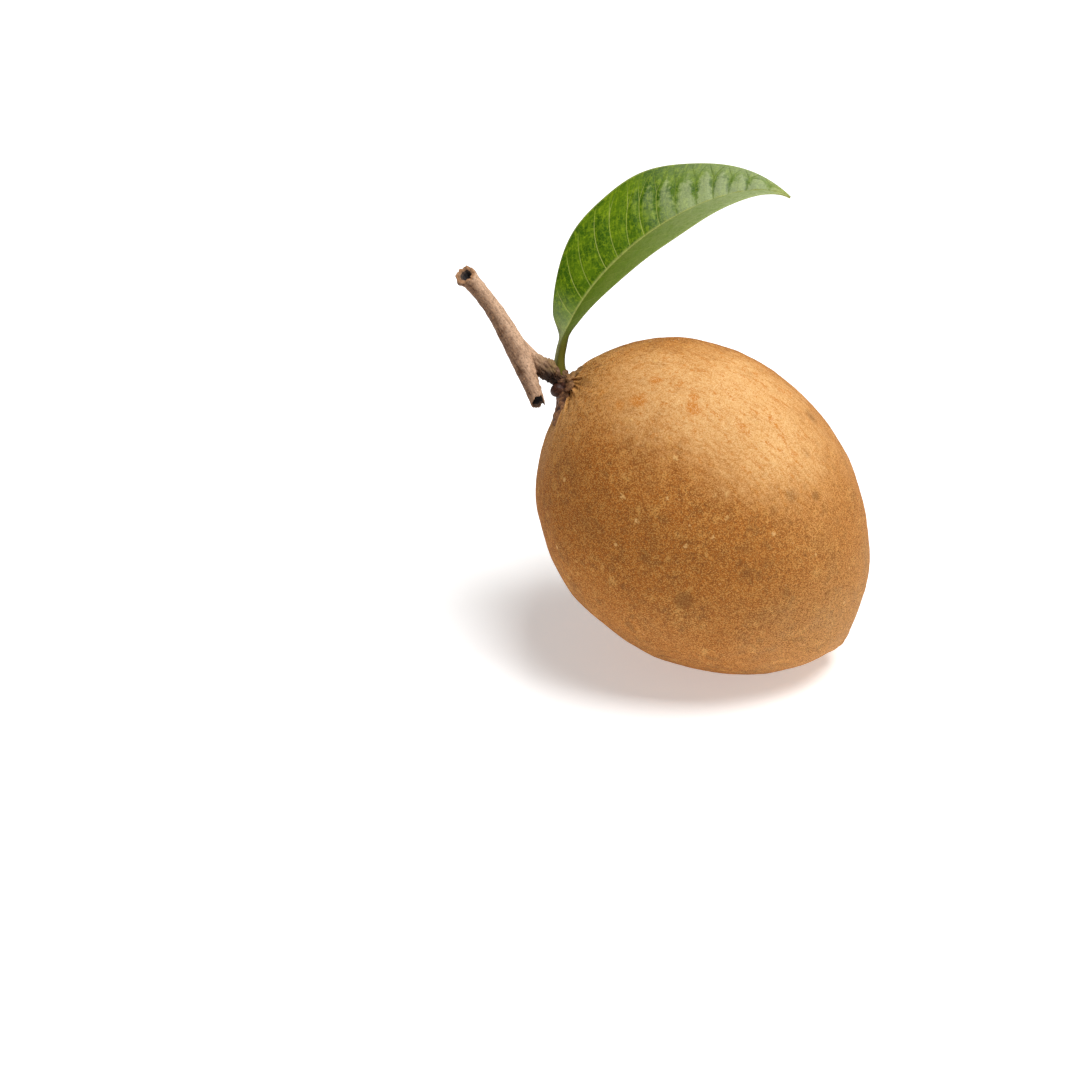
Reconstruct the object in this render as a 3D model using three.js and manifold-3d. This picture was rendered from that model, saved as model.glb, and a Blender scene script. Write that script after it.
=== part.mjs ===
// A whole sapodilla, picked with its calyx, a forked bit of twig and one leaf.
// Millimetres, +Z up. The origin is the middle of the flat spot that the fruit lies on.

import * as THREE from 'three';
import { mergeVertices } from 'three/addons/utils/BufferGeometryUtils.js';
import Module from 'manifold-3d';

const wasm = await Module();
wasm.setup();

// Clearance between neighbouring pieces
const GAP = 0.3;

// Fruit: an egg of two halves that meet at its widest round
const FRUIT_RADIUS = 28.6;
const STEM_HALF = 33.6;
const TIP_HALF = 38.7;
const STEM_BLUNTNESS = 0.48;
const TIP_BLUNTNESS = 0.6;
const FRUIT_CENTRE = new THREE.Vector3(-8.2, 2.8, 30.35);
const FRUIT_SIDES = 48;
const FRUIT_STEPS = 26;

// The stem end looks up and to the left, a little to the back
const STEM_RISE = THREE.MathUtils.degToRad(41.2);
const STEM_TURN = THREE.MathUtils.degToRad(17);

// One shoulder by the stem is lower than the other, and the round is slightly uneven
const SHOULDER_DROP = 2.2;
const SHOULDER_HIGH_SIDE = THREE.MathUtils.degToRad(32);
const SHOULDER_START = 3;
const OVAL = 0.008;
const THREE_CORNERED = 0.006;

// Scar of the flower's style at the blossom end
const TIP_SCAR_RADIUS = 2.3;
const TIP_SCAR_HEIGHT = 0.8;

// Calyx: a cup round the stalk with six sepals in two whorls, set a little to the low side
const CALYX_LOW_SHIFT = 0.9;
const CUP_RADIUS = 2.7;
const CUP_HEIGHT = 1.6;
const CUP_SUNK = 1.2;
const SEPALS = 6;
const SEPAL_LENGTH = [2.4, 4.8];
const SEPAL_LIFT = [0, 0.2];
const SEPAL_START = 0.8;
const SEPAL_HALF_WIDTH = 2.6;
const SEPAL_THICKNESS = 1.1;

// Twig: a broken branch, and the fruit's stalk that forks off it
const BRANCH_PATH = [[-51.9, 21.5, 68.8], [-44.2, 15.8, 62.2], [-39.6, 10.9, 58.4], [-37.5, 4.4, 51.2]];
const BRANCH_RADIUS = 1.5;
const BRANCH_END_FLARE = 0.55;
const BRANCH_FORK_SWELL = 0.8;
const BRANCH_TORN_RADIUS = 1.4;
const FORK_AT = 0.62;
const STALK_START = [-40.4, 12.1, 58.4];
const STALK_BEND = [-36.3, 10, 54.8];
const STALK_SUNK = 0.7;
const STALK_RADIUS = 1.4;
const NODE_AT = 0.72;
const NODE_RADIUS = 1.9;

// Leaf: a stalk and a blade folded along its midrib, arching up and over the fruit
const LEAF_PATH = [[-33.7, 10.3, 53.4], [-37.3, 18, 67.7], [-4.8, 31.6, 88.2], [9.7, 30.9, 81]];
const LEAF_STALK_SHARE = 0.085;
const LEAF_STALK_RADIUS = 0.85;
const BLADE_HALF_WIDTH = 12;
const BLADE_THICKNESS = 0.8;
const BLADE_FOLD = THREE.MathUtils.degToRad(21);
const BLADE_TIP_HALF_WIDTH = 0.5;
const BLADE_OPENED_BY = 0.1;
const MIDRIB_DEPTH = 0.6;
const EDGE_WAVE = 0.25;
const EDGE_WAVES = 3.5;
const LEAF_STEPS = 34;
const BLADE_COLUMNS = 10;

// The blade's upper side is rolled about the midrib, out of the plane that the leaf arches in
const LEAF_PLANE_NORMAL = new THREE.Vector3(0, -Math.sqrt(3) / 2, 0.5);
const LEAF_ROLL_BASE = THREE.MathUtils.degToRad(42);
const LEAF_ROLL_TIP = THREE.MathUtils.degToRad(38);

// The fruit's own axes: level side, stem, upper side
const stemAxis = new THREE.Vector3(
  -Math.cos(STEM_RISE) * Math.cos(STEM_TURN),
  Math.cos(STEM_RISE) * Math.sin(STEM_TURN),
  Math.sin(STEM_RISE),
);
const levelAxis = new THREE.Vector3().crossVectors(stemAxis, new THREE.Vector3(0, 0, 1)).normalize();
const upperAxis = new THREE.Vector3().crossVectors(levelAxis, stemAxis);
const fruitFrame = new THREE.Matrix4().makeBasis(levelAxis, stemAxis, upperAxis).setPosition(FRUIT_CENTRE);
const stemPole = FRUIT_CENTRE.clone().addScaledVector(stemAxis, STEM_HALF);
const calyxCentre = stemPole.clone()
  .addScaledVector(levelAxis, -CALYX_LOW_SHIFT * Math.sin(SHOULDER_HIGH_SIDE))
  .addScaledVector(upperAxis, -CALYX_LOW_SHIFT * Math.cos(SHOULDER_HIGH_SIDE));
const calyxFrame = fruitFrame.clone().setPosition(calyxCentre);

// A closed solid from a geometry, and back again
function toSolid(geometry) {
  const bare = geometry.clone();
  bare.deleteAttribute('normal');
  bare.deleteAttribute('uv');
  const merged = mergeVertices(bare, 1e-3);
  const vertProperties = new Float32Array(merged.attributes.position.array);
  const triVerts = new Uint32Array(merged.index.array);
  return new wasm.Manifold(new wasm.Mesh({ numProp: 3, vertProperties, triVerts }));
}

function toGeometry(solid) {
  const mesh = solid.getMesh();
  const geometry = new THREE.BufferGeometry();
  geometry.setAttribute('position', new THREE.BufferAttribute(new Float32Array(mesh.vertProperties), 3));
  geometry.setIndex(new THREE.BufferAttribute(new Uint32Array(mesh.triVerts), 1));
  geometry.computeVertexNormals();
  return geometry;
}

// The largest body of a solid, without the scraps that a cut can leave
function mainBody(solid) {
  return solid.decompose().sort((a, b) => b.volume() - a.volume())[0];
}

// A closed skin over rings that turn anticlockwise about the way they run. From ring point
// backFrom on, the quads are split along the other diagonal, so that a blade's faces match.
function loft(rings, backFrom = Infinity) {
  const count = rings[0].length;
  const points = rings.flat();
  const triangles = [];
  for (let i = 0; i + 1 < rings.length; i += 1) {
    for (let j = 0; j < count; j += 1) {
      const a = i * count + j;
      const b = i * count + (j + 1) % count;
      const c = a + count;
      const d = b + count;
      triangles.push(...(j < backFrom ? [a, b, c, b, d, c] : [a, b, d, a, d, c]));
    }
  }
  for (const end of [0, rings.length - 1]) {
    const centre = points.length;
    const middle = new THREE.Vector3();
    rings[end].forEach((point) => middle.addScaledVector(point, 1 / count));
    points.push(middle);
    for (let j = 0; j < count; j += 1) {
      const a = end * count + j;
      const b = end * count + (j + 1) % count;
      triangles.push(...(end === 0 ? [centre, b, a] : [centre, a, b]));
    }
  }
  const geometry = new THREE.BufferGeometry().setFromPoints(points);
  geometry.setIndex(triangles);
  return geometry;
}

// Two axes across a direction: side, and up nearest to the one that is asked for
function acrossAxes(tangent, wantedUp) {
  const side = new THREE.Vector3().crossVectors(wantedUp, tangent).normalize();
  const up = new THREE.Vector3().crossVectors(tangent, side);
  return { side, up };
}

// A round rod along a curve. It is grown all round, and past its ends, to cut its own clearance.
function rod(curve, radiusAt, steps, sides, grow) {
  const rings = [];
  for (let i = 0; i <= steps; i += 1) {
    const share = i / steps;
    const tangent = curve.getTangentAt(share);
    const { side, up } = acrossAxes(tangent, new THREE.Vector3(0, 0, 1));
    const past = (i === steps) - (i === 0);
    const centre = curve.getPointAt(share).addScaledVector(tangent, past * grow);
    const radius = radiusAt(share) + grow;
    rings.push(Array.from({ length: sides }, (_, j) => {
      const angle = (2 * Math.PI * j) / sides;
      return centre.clone()
        .addScaledVector(side, radius * Math.cos(angle))
        .addScaledVector(up, radius * Math.sin(angle));
    }));
  }
  return toSolid(loft(rings));
}

// A smooth hump of height 1 at the middle
function hump(value, middle, width) {
  return Math.exp(-(((value - middle) / width) ** 2));
}

// How far the stem end's shoulder lies below an even round
function shoulderDrop(radius, angle, along) {
  const lowSide = 0.5 * (1 - Math.cos(angle - SHOULDER_HIGH_SIDE));
  return SHOULDER_DROP * lowSide * Math.max(0, along) ** 0.7 * (1 - hump(radius, 0, SHOULDER_START));
}

// Fruit, or the fruit grown all round to cut its own clearance
function fruitSolid(grow) {
  const profile = [];
  for (let k = 0; k <= FRUIT_STEPS; k += 1) {
    const along = Math.cos((Math.PI * k) / FRUIT_STEPS);
    const half = along < 0 ? TIP_HALF : STEM_HALF;
    const bluntness = along < 0 ? TIP_BLUNTNESS : STEM_BLUNTNESS;
    const radius = (FRUIT_RADIUS + grow) * (1 - along * along) ** bluntness;
    profile.unshift(new THREE.Vector2(Math.max(radius, 0), along * (half + grow)));
  }
  profile[0].x = 0;
  profile[FRUIT_STEPS].x = 0;
  const round = new THREE.LatheGeometry(profile, FRUIT_SIDES);
  const places = round.attributes.position;
  const point = new THREE.Vector3();
  for (let i = 0; i < places.count; i += 1) {
    point.fromBufferAttribute(places, i);
    const radius = Math.hypot(point.x, point.z);
    const angle = Math.atan2(point.x, point.z);
    const waist = 1 - Math.min(1, Math.abs(point.y) / STEM_HALF) ** 2;
    const uneven = OVAL * Math.sin(2 * angle + 0.6) + THREE_CORNERED * Math.cos(3 * angle + 1.1);
    const scar = point.y < 0 ? TIP_SCAR_HEIGHT * hump(radius, 0, TIP_SCAR_RADIUS) : 0;
    const swell = 1 + uneven * waist;
    const height = point.y - shoulderDrop(radius, angle, point.y / STEM_HALF) - scar;
    places.setXYZ(i, point.x * swell, height, point.z * swell);
  }
  return toSolid(round.applyMatrix4(fruitFrame));
}

function restingFruit() {
  const depth = 20;
  const ground = new THREE.BoxGeometry(200, 200, depth).translate(0, 0, -depth / 2);
  return mainBody(fruitSolid(0).subtract(toSolid(ground)));
}

// One sepal, lying outwards over the fruit's shoulder with its tip curled up
function sepalSolid(index) {
  const heading = SHOULDER_HIGH_SIDE + (2 * Math.PI * index) / SEPALS;
  const steps = 5;
  const sides = 8;
  const rings = [];
  for (let i = 0; i <= steps; i += 1) {
    const share = i / steps;
    const reach = SEPAL_START + SEPAL_LENGTH[index % 2] * share;
    const fromPole = Math.abs(reach - CALYX_LOW_SHIFT * Math.cos(heading - SHOULDER_HIGH_SIDE));
    const along = Math.sqrt(1 - (fromPole / FRUIT_RADIUS) ** (1 / STEM_BLUNTNESS));
    const ground = STEM_HALF * (along - 1) - shoulderDrop(fromPole, heading, along);
    const height = ground + 0.6 * SEPAL_THICKNESS + SEPAL_LIFT[index % 2] * share * share;
    const halfWidth = SEPAL_HALF_WIDTH * (1 - 0.75 * share ** 3);
    const halfThick = 0.5 * SEPAL_THICKNESS * (1 - 0.35 * share);
    rings.push(Array.from({ length: sides }, (_, j) => {
      const angle = (2 * Math.PI * j) / sides;
      return new THREE.Vector3(halfWidth * Math.cos(angle), height + halfThick * Math.sin(angle), reach);
    }));
  }
  return toSolid(loft(rings).rotateY(heading).applyMatrix4(calyxFrame));
}

function calyxSolid() {
  const cupProfile = [[0, -CUP_SUNK], [CUP_RADIUS, -CUP_SUNK], [CUP_RADIUS, 0.6 * CUP_HEIGHT],
    [0.7 * CUP_RADIUS, CUP_HEIGHT], [0, CUP_HEIGHT]];
  const cup = new THREE.LatheGeometry(cupProfile.map(([x, y]) => new THREE.Vector2(x, y)), 14);
  let calyx = toSolid(cup.applyMatrix4(calyxFrame));
  for (let index = 0; index < SEPALS; index += 1) {
    calyx = calyx.add(sepalSolid(index));
  }
  return mainBody(calyx.subtract(fruitSolid(GAP)).subtract(twigSolid(GAP)));
}

function vectors(points) {
  return points.map((point) => new THREE.Vector3(...point));
}

// Twig, or the twig grown all round to cut its own clearance
function twigSolid(grow) {
  const branchPath = new THREE.CubicBezierCurve3(...vectors(BRANCH_PATH));
  const branchRadius = (share) => THREE.MathUtils.lerp(BRANCH_RADIUS, BRANCH_TORN_RADIUS, share ** 4)
    + BRANCH_END_FLARE * hump(share, 0, 0.08)
    + BRANCH_FORK_SWELL * hump(share, FORK_AT, 0.15);
  const stalkEnd = stemPole.clone().addScaledVector(stemAxis, CUP_HEIGHT - STALK_SUNK);
  const stalkPath = new THREE.QuadraticBezierCurve3(...vectors([STALK_START, STALK_BEND]), stalkEnd);
  const stalkRadius = (share) => THREE.MathUtils.lerp(
    STALK_RADIUS + 0.2 * (1 - share),
    NODE_RADIUS,
    hump(share, NODE_AT, 0.16),
  );
  const branch = rod(branchPath, branchRadius, 16, 12, grow);
  const stalk = rod(stalkPath, stalkRadius, 10, 10, grow);
  return branch.add(stalk);
}

// Leaf: a round stalk whose section opens out into the folded blade
function leafSolid() {
  const path = new THREE.CubicBezierCurve3(...vectors(LEAF_PATH));
  const rings = [];
  for (let i = 0; i <= LEAF_STEPS; i += 1) {
    const share = i / LEAF_STEPS;
    const along = Math.max(0, (share - LEAF_STALK_SHARE) / (1 - LEAF_STALK_SHARE));
    const tangent = path.getTangentAt(share);
    const roll = THREE.MathUtils.lerp(LEAF_ROLL_BASE, LEAF_ROLL_TIP, along);
    const out = acrossAxes(tangent, LEAF_PLANE_NORMAL);
    const facing = out.up.clone().multiplyScalar(Math.sin(roll)).addScaledVector(out.side, Math.cos(roll));
    const { side, up } = acrossAxes(tangent, facing);
    const taper = Math.sin(Math.PI * along) ** (0.95 + 0.15 * along);
    const halfWidth = Math.max(BLADE_HALF_WIDTH * taper, BLADE_TIP_HALF_WIDTH * (along > 0));
    const opened = THREE.MathUtils.smoothstep(along, 0, BLADE_OPENED_BY);
    const centre = path.getPointAt(share);
    const place = (across, face) => {
      const turn = 0.45 * Math.PI * across;
      const wave = EDGE_WAVE * taper * across * across * Math.sin(2 * Math.PI * EDGE_WAVES * along + across);
      const rib = face < 0 ? MIDRIB_DEPTH * (1 - 0.8 * along) * hump(across, 0, 0.15) : 0;
      const bladeSide = halfWidth * across * Math.cos(BLADE_FOLD);
      const bladeUp = halfWidth * Math.abs(across) * Math.sin(BLADE_FOLD) + wave
        + 0.5 * BLADE_THICKNESS * face - rib;
      const stalkSide = LEAF_STALK_RADIUS * Math.sin(turn);
      const stalkUp = LEAF_STALK_RADIUS * Math.cos(turn) * face;
      return centre.clone()
        .addScaledVector(side, THREE.MathUtils.lerp(stalkSide, bladeSide, opened))
        .addScaledVector(up, THREE.MathUtils.lerp(stalkUp, bladeUp, opened));
    };
    const across = Array.from({ length: BLADE_COLUMNS + 1 }, (_, j) => 1 - (2 * j) / BLADE_COLUMNS);
    const upperRow = across.map((value) => place(value, 1));
    const lowerRow = across.reverse().map((value) => place(value, -1));
    rings.push([...upperRow, ...lowerRow]);
  }
  return mainBody(toSolid(loft(rings, BLADE_COLUMNS + 1)).subtract(twigSolid(GAP)));
}

function piece(name, solid, color, roughness) {
  const material = new THREE.MeshStandardMaterial({ color, roughness, metalness: 0 });
  const mesh = new THREE.Mesh(toGeometry(solid), material);
  mesh.name = name;
  return mesh;
}

const sapodilla = new THREE.Group();
sapodilla.add(piece('fruit', restingFruit(), 0xb97f45, 0.75));
sapodilla.add(piece('calyx', calyxSolid(), 0x4a3022, 0.85));
sapodilla.add(piece('twig', twigSolid(0), 0x8d7060, 0.85));
sapodilla.add(piece('leaf', leafSolid(), 0x4b7a2c, 0.4));

export default sapodilla;
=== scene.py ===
"""A whole sapodilla with its calyx, a forked bit of twig and one leaf, on a pale studio floor."""

import math
from types import SimpleNamespace

import bpy
import numpy as np
from mathutils import Matrix, Vector, kdtree


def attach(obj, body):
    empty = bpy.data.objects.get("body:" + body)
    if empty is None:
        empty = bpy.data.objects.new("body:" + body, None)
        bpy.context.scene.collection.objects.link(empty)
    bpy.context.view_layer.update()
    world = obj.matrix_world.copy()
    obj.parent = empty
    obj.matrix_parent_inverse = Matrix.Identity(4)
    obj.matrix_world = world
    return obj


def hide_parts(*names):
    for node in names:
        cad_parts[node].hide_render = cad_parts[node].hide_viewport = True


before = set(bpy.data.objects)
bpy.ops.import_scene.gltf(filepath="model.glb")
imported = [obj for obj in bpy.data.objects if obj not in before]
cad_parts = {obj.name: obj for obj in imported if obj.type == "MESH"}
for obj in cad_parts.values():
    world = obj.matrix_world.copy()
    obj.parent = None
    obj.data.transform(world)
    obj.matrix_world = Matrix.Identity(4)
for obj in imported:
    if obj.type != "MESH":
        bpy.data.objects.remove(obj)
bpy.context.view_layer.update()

bl_info = {
    "name": "Sapodilla",
    "version": (1, 0, 0),
    "blender": (4, 5, 0),
    "location": "3D View > Sidebar > Sapodilla",
    "description": "Makes a whole sapodilla with its calyx, twig and leaf round the packed solids",
    "category": "Add Mesh",
}

# Sizes in this script are millimetres in the part's frame, and meshes are made in metres
MM = 0.001
FULL_TURN = 2 * math.pi
UP = np.array([0, 0, 1.0])

# Fruit: an egg of two halves that meet at its widest round, as in the part's solids
FRUIT_CENTRE = np.array([-8.2, 2.8, 30.35])
STEM_RISE = math.radians(41.2)
STEM_TURN = math.radians(17)
STEM_HALF = 33.6
TIP_HALF = 38.7
FRUIT_RADIUS = 28.6
STEM_BLUNTNESS = 0.48
TIP_BLUNTNESS = 0.6
SHOULDER_DROP = 2.2
SHOULDER_HIGH_SIDE = math.radians(32)
SHOULDER_START = 3
OVAL = 0.008
OVAL_TURN = 0.6
THREE_CORNERED = 0.006
CORNERS_TURN = 1.1
TIP_SCAR_RADIUS = 2.3
TIP_SCAR_HEIGHT = 0.8
SCAR_RIM_RADIUS = 2.7
SCAR_RIM_HEIGHT = 0.14
SCAR_DIP_RADIUS = 1.6
FOLD_RADIUS = 4.5
FRUIT_SIDES = 330
FRUIT_STEPS = 290
POLE_GAP = 0.012
REST_EDGE = 0.5
FAR_OFF = 60

# Dents of the fruit's skin, as length and strength
SKIN_DENTS = ((19, 1), (8, 0.45), (3, 0.16), (1.5, 0.10))

# The skin is palest towards the upper right, partly its own paler tone and partly a painted highlight, and
# painted shade makes it browner at the back
PALE_AND_HIGHLIGHT_WAY = np.array([0.31, -0.3, 0.9])
PAINTED_BACK_SHADE = 0.7

# Marks on the fruit's skin, as place, radius and strength
BROWN_MARKS = (
    (12.1, -0.6, 50.2, 2.1, 0.6), (12.2, -14.9, 41.7, 1.1, 0.8), (7.7, -17.6, 43.3, 1.8, 0.55),
    (4.3, -20.6, 41.7, 1.3, 0.5), (-0.8, -24.5, 36.2, 1.8, 0.5), (-0.5, -25.5, 31.5, 1.4, 0.65),
    (7.0, -23.8, 26.5, 1.4, 0.6), (-11.7, -25.5, 25.6, 2.1, 0.9), (15.2, -19.2, 23.6, 1.1, 0.5),
    (10.7, -9.8, 48.0, 1.6, 0.4), (3.2, -24.3, 32.9, 2.1, 0.4), (16.5, -14.1, 36.0, 1.6, 0.4),
)
ORANGE_MARKS = (
    (-16.6, -3.8, 59.6, 1.6, 0.7), (-20.0, -7.3, 57.3, 2.1, 0.8), (-23.4, -6.8, 56.1, 1.6, 0.6),
    (-10.0, -10.1, 57.2, 1.8, 0.8), (-9.8, -8.0, 58.3, 1.0, 0.8), (4.1, -8.1, 53.9, 0.9, 0.9),
    (7.0, 0.9, 54.7, 0.9, 0.7), (-2.3, 5.3, 59.5, 1.0, 0.5), (-13.2, -6.7, 58.9, 1.2, 0.5),
    (-20.1, 1.0, 60.1, 2.0, 0.5), (-6.3, -0.1, 60.3, 0.9, 0.5), (-1.3, -11.8, 54.3, 0.9, 0.8),
    (-26.2, -2.1, 56.4, 1.0, 0.8),
)
PALE_DOTS = (
    (-13.5, -17.3, 51.0), (-23.0, -18.8, 43.8), (-15.0, -21.4, 44.7), (-6.4, -21.5, 45.4),
    (-4.3, -21.1, 45.6), (-6.7, -24.6, 38.6), (-10.9, -23.9, 40.4), (-4.2, -23.2, 41.7),
    (4.4, -22.3, 38.2), (-20.4, -21.6, 40.1), (-11.7, -24.8, 36.8),
)
PALE_DOT_RADIUS = 0.6
PALE_DOT_RAGGED = 1.6

# Calyx: a cup round the stalk with six sepals in two whorls, and a knob
CALYX_LOW_SHIFT = 0.9
CUP_HEIGHT = 1.6
CUP_RADIUS = 2.0
CUP_STEPS = 60
CUP_SIDES = 64
NECK_RISE = 0.9
NECK_REACH = 1.3
SEPAL_START = 0.8
SEPAL_LIFT = 0.22
SEPAL_STEPS = 26
SEPAL_SIDES = 28
KNOB_SHIFT = np.array([-1.5, -1.35, -0.45])
KNOB_RADII = np.array([1.45, 1.25, 1.45])
KNOB_STEPS = 24
KNOB_SIDES = 32

# Outline of the cup as radius and height, before its radius is set
CUP_OUTLINE = np.array([
    [0.3, -1.3], [2.4, -1.2], [2.7, -0.4], [2.75, 0.4], [2.6, 1.0], [2.25, 1.45], [1.8, 1.6], [1.3, 1.35],
    [0.3, 1.1],
])

# Sepals, as heading in degrees, length, half width and half thickness
SEPALS = (
    (32, 4.2, 2.5, 0.32), (92, 4.2, 2.4, 0.45), (152, 2.6, 2.4, 0.5),
    (243, 7.4, 2.0, 1.15), (268, 2.4, 1.7, 0.5), (306, 3.2, 1.6, 0.45),
)

# Twig: a broken branch, and the fruit's stalk that forks off it
BRANCH_PATH = np.array([[-51.8, 21.8, 69.1], [-44.6, 16.3, 63.1], [-41.6, 10.9, 58.3], [-38.2, 4.3, 51.0]])
BRANCH_RADIUS = 1.54
BRANCH_END_FLARE = 0.3
BRANCH_FORK_SWELL = 0.5
BRANCH_TORN_RADIUS = 1.2
BRANCH_STEPS = 150
BRANCH_SIDES = 60
FORK_AT = 0.62
STALK_START = np.array([-44.1, 14.2, 61.0])
STALK_BEND = np.array([-38.2, 9.9, 54.7])
STALK_SUNK = 0.7
STALK_RADIUS = 1.4
STALK_SPREAD = 0.2
STALK_STEPS = 80
STALK_SIDES = 48
NODE_AT = 0.72
NODE_RADIUS = 1.9
# Way that the painted shade on the twig's lower left side faces
PAINTED_SHADE_WAY = np.array([-0.8, -0.25, -0.5])

# Bumps on the branch and knots on the stalk, as place along it, angle, height, length and breadth
BRANCH_BUMPS = ((0.015, 3.9, 0.55, 0.022, 0.4), (0.33, 1.0, 0.06, 0.04, 0.9))
STALK_KNOTS = (
    (0.62, 3.9, 0.6, 0.07, 0.6), (0.7, 5.3, 0.5, 0.06, 0.5), (0.74, 0.9, 0.3, 0.06, 0.6),
    (0.82, 2.6, 0.5, 0.06, 0.6), (0.88, 4.6, 0.45, 0.05, 0.5), (0.55, 5.0, 0.3, 0.05, 0.7),
)

# Rings of the broken ends from the rim inwards, as share of the radius, depth, raw wood and pith
TOP_BREAK = np.array([
    [0.94, -0.1, 0.9, 0], [0.8, -0.08, 1, 0], [0.62, 0, 0.9, 0.2], [0.5, 0.25, 0.1, 0.9],
    [0.44, 0.7, 0, 1], [0.36, 1.2, 0, 1], [0.2, 1.5, 0, 1], [0.05, 1.6, 0, 1],
])
TORN_BREAK = np.array([
    [0.92, 0, 0.3, 0.3], [0.82, 0.3, 0.2, 0.8], [0.7, 0.9, 0.1, 1],
    [0.5, 1.5, 0, 1], [0.25, 1.8, 0, 1], [0.05, 1.9, 0, 1],
])
BREAK_FADE_RINGS = 24
TOP_SLOPE = 2.1
TOP_SLOPE_TURN = 2.34

# Pieces that are grown together get even faces of this size
FUSED_GRAIN = 0.11

# Leaf: a stalk and a blade folded along its midrib
LEAF_PATH = np.array([[-33.8, 9.6, 52.1], [-37.8, 18, 67.9], [-4.9, 31.6, 88.2], [9.7, 30.9, 81]])
LEAF_PLANE_NORMAL = np.array([0, -math.sqrt(3) / 2, 0.5])
LEAF_ROLL_BASE = math.radians(42)
LEAF_ROLL_TIP = math.radians(38)
LEAF_STALK_SHARE = 0.103
LEAF_STALK_RADIUS = 0.95
LEAF_STALK_SWELL = 0.35
LEAF_STALK_GROOVE = 0.22
LEAF_STEPS = 330
TIP_CROWDING = 1.06
BLADE_HALF_WIDTH = 12.0
BLADE_LEAST_HALF_WIDTH = 0.12
BLADE_OPENED_BY = 0.1
BLADE_COLUMNS = 130
MIDRIB_CROWDING = 1.15
FAR_HALF_FOLD = math.radians(21)
FAR_HALF_WIDER = 1.12
NEAR_HALF_FOLD = math.radians(17)
NEAR_HALF_WIDER = 0.95
EDGE_WAVE = 0.25
EDGE_WAVES = 3.5
BLADE_SWAY = 0.2

# Side veins start a little apart on the two halves, and fork towards the tip
VEINED_LENGTH = 74
FAR_FIRST_VEIN = 6.6
NEAR_FIRST_VEIN = 5.0
VEIN_HALF_WIDTH = 0.14
VEIN_DEPTH = 0.04
MIDRIB_DEPTH = 0.10
CELL_REACH = 1.4
FORK_FROM = 0.55
FORK_SPREAD = 1.05
FORKED = (0.4, 0.6)

# Stage: a large soft light overhead, and a camera that looks down at the fruit from the front
FLOOR_RADIUS = 4000
FLOOR_SIDES = 96
KEY_LIGHT_PLACE = (740, -80, 2345)
KEY_LIGHT_AIM = (-5, 0, 30)
KEY_LIGHT_SIZE = 1400
CAMERA_RISE = math.radians(30)
CAMERA_DISTANCE = 484
CAMERA_NEAREST = 10
CAMERA_LENS = 85
CAMERA_AIM = np.array([-37.75, -0.7, 24.28])


def unit(vectors):
    """Vectors scaled to length 1 along the last axis."""
    return vectors / np.linalg.norm(vectors, axis=-1, keepdims=True)


# The fruit's own axes: level side, stem, upper side
STEM_AXIS = np.array([
    -math.cos(STEM_RISE) * math.cos(STEM_TURN),
    math.cos(STEM_RISE) * math.sin(STEM_TURN),
    math.sin(STEM_RISE),
])
LEVEL_AXIS = unit(np.cross(STEM_AXIS, UP))
UPPER_AXIS = np.cross(LEVEL_AXIS, STEM_AXIS)
FRUIT_AXES = np.array([LEVEL_AXIS, STEM_AXIS, UPPER_AXIS])
HIGH_SIDE_WAY = math.sin(SHOULDER_HIGH_SIDE) * LEVEL_AXIS + math.cos(SHOULDER_HIGH_SIDE) * UPPER_AXIS
STEM_POLE = FRUIT_CENTRE + STEM_HALF * STEM_AXIS
CALYX_CENTRE = STEM_POLE - CALYX_LOW_SHIFT * HIGH_SIDE_WAY
KNOB_CENTRE = CALYX_CENTRE + KNOB_SHIFT
BRANCH_WAY = unit(BRANCH_PATH[2] - BRANCH_PATH[0])


def hump(value, middle, width):
    """A smooth hump of height 1 at the middle."""
    return np.exp(-(((value - middle) / width) ** 2))


def ease(value, low, high):
    """0 at low, 1 at high, and a smooth step between them."""
    share = np.clip((value - low) / (high - low), 0, 1)
    return share * share * (3 - 2 * share)


def round_angles(sides):
    """Even angles round a full turn."""
    return np.arange(sides) * (FULL_TURN / sides)


def apart_by(angle, other):
    """Angle from another one, between half a turn back and half a turn on."""
    return (angle - other + math.pi) % FULL_TURN - math.pi


def ripple(points, length, seed, waves=48):
    """An even random swell over points, about as strong as a sine wave, with crests a length apart."""
    draw = np.random.default_rng(seed)
    heading = unit(draw.normal(size=(waves, 3)))
    phase = draw.uniform(0, FULL_TURN, waves)
    stretch = draw.uniform(0.75, 1.35, waves)
    turns = points @ (heading * stretch[:, None]).T * (FULL_TURN / length)
    return np.cos(turns + phase).sum(axis=-1) / math.sqrt(waves)


def bezier(path, share):
    """Points and unit tangents at even shares of a Bezier curve's length, and that length."""
    fine = np.linspace(0, 1, 2001)
    degree = len(path) - 1
    weights = [math.comb(degree, k) * fine**k * (1 - fine) ** (degree - k) for k in range(degree + 1)]
    points = np.stack(weights, axis=1) @ path
    length = np.concatenate([[0], np.cumsum(np.linalg.norm(np.diff(points, axis=0), axis=1))])
    slopes = unit(np.gradient(points, length, axis=0))
    at, towards = (
        np.stack([np.interp(share * length[-1], length, column) for column in rows.T], axis=-1)
        for rows in (points, slopes))
    return at, unit(towards), length[-1]


def across_axes(tangent, wanted_up):
    """Two axes across each tangent: side, and up nearest to the one that is asked for."""
    side = unit(np.cross(wanted_up, tangent))
    return side, np.cross(tangent, side)


def skin_faces(steps, sides):
    """Faces of a closed skin over rings of points, with a point for each end after them."""
    place = np.arange(sides)
    after = (place + 1) % sides
    last = (steps - 1) * sides
    ring = np.arange(steps - 1)[:, None] * sides
    quads = np.stack([ring + place, ring + after, ring + sides + after, ring + sides + place], axis=-1)
    start = np.stack([np.full(sides, steps * sides), after, place], axis=-1)
    end = np.stack([np.full(sides, steps * sides + 1), last + place, last + after], axis=-1)
    return quads.reshape(-1, 4).tolist() + start.tolist() + end.tolist()


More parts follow.
